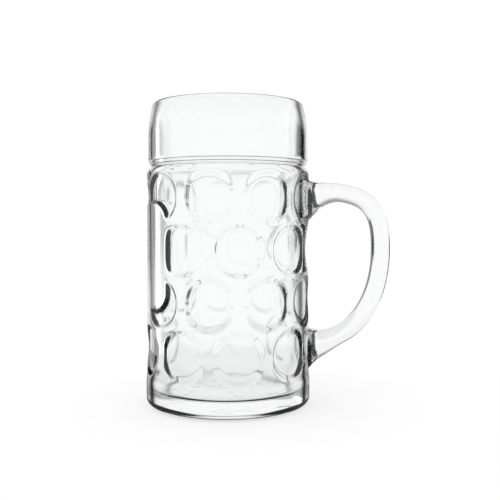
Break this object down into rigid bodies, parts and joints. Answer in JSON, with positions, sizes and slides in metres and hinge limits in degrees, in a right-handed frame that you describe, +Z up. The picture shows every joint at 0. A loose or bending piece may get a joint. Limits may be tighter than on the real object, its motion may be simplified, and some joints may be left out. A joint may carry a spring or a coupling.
{
  "type": "shot mug",
  "caption": "Small clear-glass mug with a dimpled wall, a smooth band under the rim, a thick floor and a fused loop handle, for a short drink.",
  "frame": {"origin": "on the beaker's axis, at the flat underside that the mug stands on", "axes": "+Z up along the beaker's axis, +X towards the handle"},
  "size_m": [0.0589, 0.0396, 0.072],
  "materials": {
    "body_glass": "clear pressed glass, fire polished",
    "handle_glass": "clear glass, hot formed and fire polished"
  },
  "bodies": {
    "root": {"mug_body": "body_glass", "handle": "handle_glass"}
  },
  "joints": []
}
